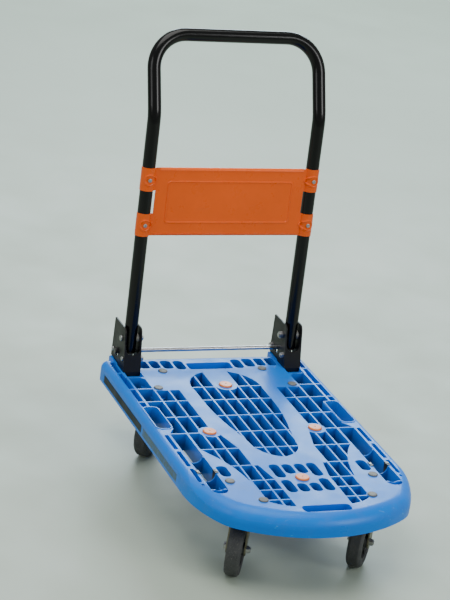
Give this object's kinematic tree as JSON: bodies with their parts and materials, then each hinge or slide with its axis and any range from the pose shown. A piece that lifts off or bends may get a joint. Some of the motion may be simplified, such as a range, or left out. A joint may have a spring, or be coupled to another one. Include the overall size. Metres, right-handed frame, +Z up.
{
  "type": "folding platform cart",
  "caption": "Folding platform cart with a moulded grid deck, a fold-down tube handle with a foot-released lock rod, and swivel casters under the corners.",
  "frame": {"origin": "On the floor, under the middle of the bounding box of the cart with its handle up; x = 0 is the cart's centre plane.", "axes": "+X to the right of someone facing the handle from the front of the deck, +Y from the rounded front edge towards the handle, +Z up."},
  "size_m": [0.401, 0.6974, 0.7576],
  "materials": {
    "deck_plastic": "moulded polypropylene, semi-gloss, fine grain",
    "cap_plastic": "moulded, semi-gloss",
    "handle_paint": "gloss black powder coat",
    "bracket_paint": "satin black powder coat",
    "orange_paint": "semi-gloss orange powder coat",
    "black_plastic": "moulded",
    "bush_plastic": "acetal, natural",
    "hub_plastic": "moulded polypropylene",
    "tread_rubber": "matt, lightly worn tread",
    "rod_chrome": "bright plated",
    "spring_steel": "oil-blackened spring strip",
    "zinc_plate": "yellow-grey zinc plate",
    "fastener_steel": "zinc plated"
  },
  "bodies": {
    "cart": {"bracket_bolt": "fastener_steel", "bracket_left": "bracket_paint", "bracket_nut": "fastener_steel", "bracket_right": "bracket_paint", "caster_bolt": "fastener_steel", "caster_nut": "fastener_steel", "caster_plate_front_left": "zinc_plate", "caster_plate_front_right": "zinc_plate", "caster_plate_rear_left": "zinc_plate", "caster_plate_rear_right": "zinc_plate", "clip_rivet": "fastener_steel", "cross_bolt": "fastener_steel", "cross_nut": "fastener_steel", "deck": "deck_plastic", "deck_cap": "cap_plastic", "handle_clip_left": "spring_steel", "handle_clip_right": "spring_steel", "kingpin": "fastener_steel", "pivot_bolt": "fastener_steel", "pivot_nut": "fastener_steel", "rod_spring": "spring_steel", "stop_sleeve": "fastener_steel", "swivel_balls_front_left": "fastener_steel", "swivel_balls_front_right": "fastener_steel", "swivel_balls_rear_left": "fastener_steel", "swivel_balls_rear_right": "fastener_steel"},
    "handle": {"handle_tube": "handle_paint", "foot_plug": "black_plastic", "pivot_bush": "bush_plastic", "handle_plate": "orange_paint", "plate_screw": "fastener_steel"},
    "release_rod": {"release_rod": "rod_chrome", "rod_cap": "black_plastic"},
    "caster_front_left": {"fork_front_left": "zinc_plate", "axle_front_left": "fastener_steel", "axle_nut_front_left": "fastener_steel"},
    "wheel_front_left": {"wheel_hub_front_left": "hub_plastic", "tyre_front_left": "tread_rubber", "wheel_bush_front_left": "bush_plastic"},
    "caster_front_right": {"fork_front_right": "zinc_plate", "axle_front_right": "fastener_steel", "axle_nut_front_right": "fastener_steel"},
    "wheel_front_right": {"wheel_hub_front_right": "hub_plastic", "tyre_front_right": "tread_rubber", "wheel_bush_front_right": "bush_plastic"},
    "caster_rear_left": {"fork_rear_left": "zinc_plate", "axle_rear_left": "fastener_steel", "axle_nut_rear_left": "fastener_steel"},
    "wheel_rear_left": {"wheel_hub_rear_left": "hub_plastic", "tyre_rear_left": "tread_rubber", "wheel_bush_rear_left": "bush_plastic"},
    "caster_rear_right": {"fork_rear_right": "zinc_plate", "axle_rear_right": "fastener_steel", "axle_nut_rear_right": "fastener_steel"},
    "wheel_rear_right": {"wheel_hub_rear_right": "hub_plastic", "tyre_rear_right": "tread_rubber", "wheel_bush_rear_right": "bush_plastic"}
  },
  "joints": [
    {"name": "handle_fold", "type": "hinge", "parent": "cart", "child": "handle", "pos_m": [0, 0.25933, 0.194], "axis": [1, 0, 0], "range_deg": [0, 101.2]},
    {"name": "release_rod_press", "type": "slide", "parent": "cart", "child": "release_rod", "axis": [0, 0, -1], "range_m": [0, 0.008], "stiffness_N_per_m": 1500, "springref_m": -0.003, "deforming": ["rod_spring"]},
    {"name": "swivel_front_left", "type": "hinge", "parent": "cart", "child": "caster_front_left", "pos_m": [-0.1148, -0.24067, 0.109], "axis": [0, 0, 1], "continuous": true},
    {"name": "wheel_spin_front_left", "type": "hinge", "parent": "caster_front_left", "child": "wheel_front_left", "pos_m": [-0.1288, -0.26492, 0.0475], "axis": [0.866, -0.5, 0], "continuous": true},
    {"name": "swivel_front_right", "type": "hinge", "parent": "cart", "child": "caster_front_right", "pos_m": [0.1148, -0.24067, 0.109], "axis": [0, 0, 1], "continuous": true},
    {"name": "wheel_spin_front_right", "type": "hinge", "parent": "caster_front_right", "child": "wheel_front_right", "pos_m": [0.09756, -0.26274, 0.0475], "axis": [0.788, -0.6157, 0], "continuous": true},
    {"name": "swivel_rear_left", "type": "hinge", "parent": "cart", "child": "caster_rear_left", "pos_m": [-0.1148, 0.19473, 0.109], "axis": [0, 0, 1], "continuous": true},
    {"name": "wheel_spin_rear_left", "type": "hinge", "parent": "caster_rear_left", "child": "wheel_rear_left", "pos_m": [-0.1328, 0.17328, 0.0475], "axis": [0.766, -0.6428, 0], "continuous": true},
    {"name": "swivel_rear_right", "type": "hinge", "parent": "cart", "child": "caster_rear_right", "pos_m": [0.1148, 0.19473, 0.109], "axis": [0, 0, 1], "continuous": true},
    {"name": "wheel_spin_rear_right", "type": "hinge", "parent": "caster_rear_right", "child": "wheel_rear_right", "pos_m": [0.09874, 0.17179, 0.0475], "axis": [0.8192, -0.5736, 0], "continuous": true}
  ]
}
